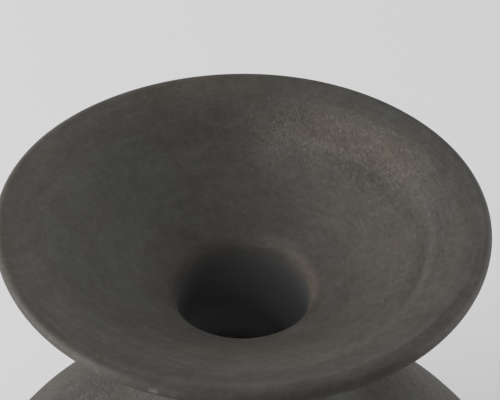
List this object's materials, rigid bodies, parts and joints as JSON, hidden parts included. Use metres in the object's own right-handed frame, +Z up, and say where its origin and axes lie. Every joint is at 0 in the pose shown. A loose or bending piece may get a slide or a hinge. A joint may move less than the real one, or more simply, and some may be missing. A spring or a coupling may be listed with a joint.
{
  "type": "ceramic vase",
  "caption": "Hand-thrown stoneware vase with a wide trumpet rim, narrow throat and round belly on a foot ring, matt dark grey-brown.",
  "frame": {"origin": "centre of the foot ring's underside, where the vase stands", "axes": "+Z up along the vase's axis of turning, X and Y alike round it"},
  "size_m": [0.26, 0.26, 0.29],
  "materials": {
    "stoneware": "matt"
  },
  "bodies": {
    "root": {"vase": "stoneware"}
  },
  "joints": []
}
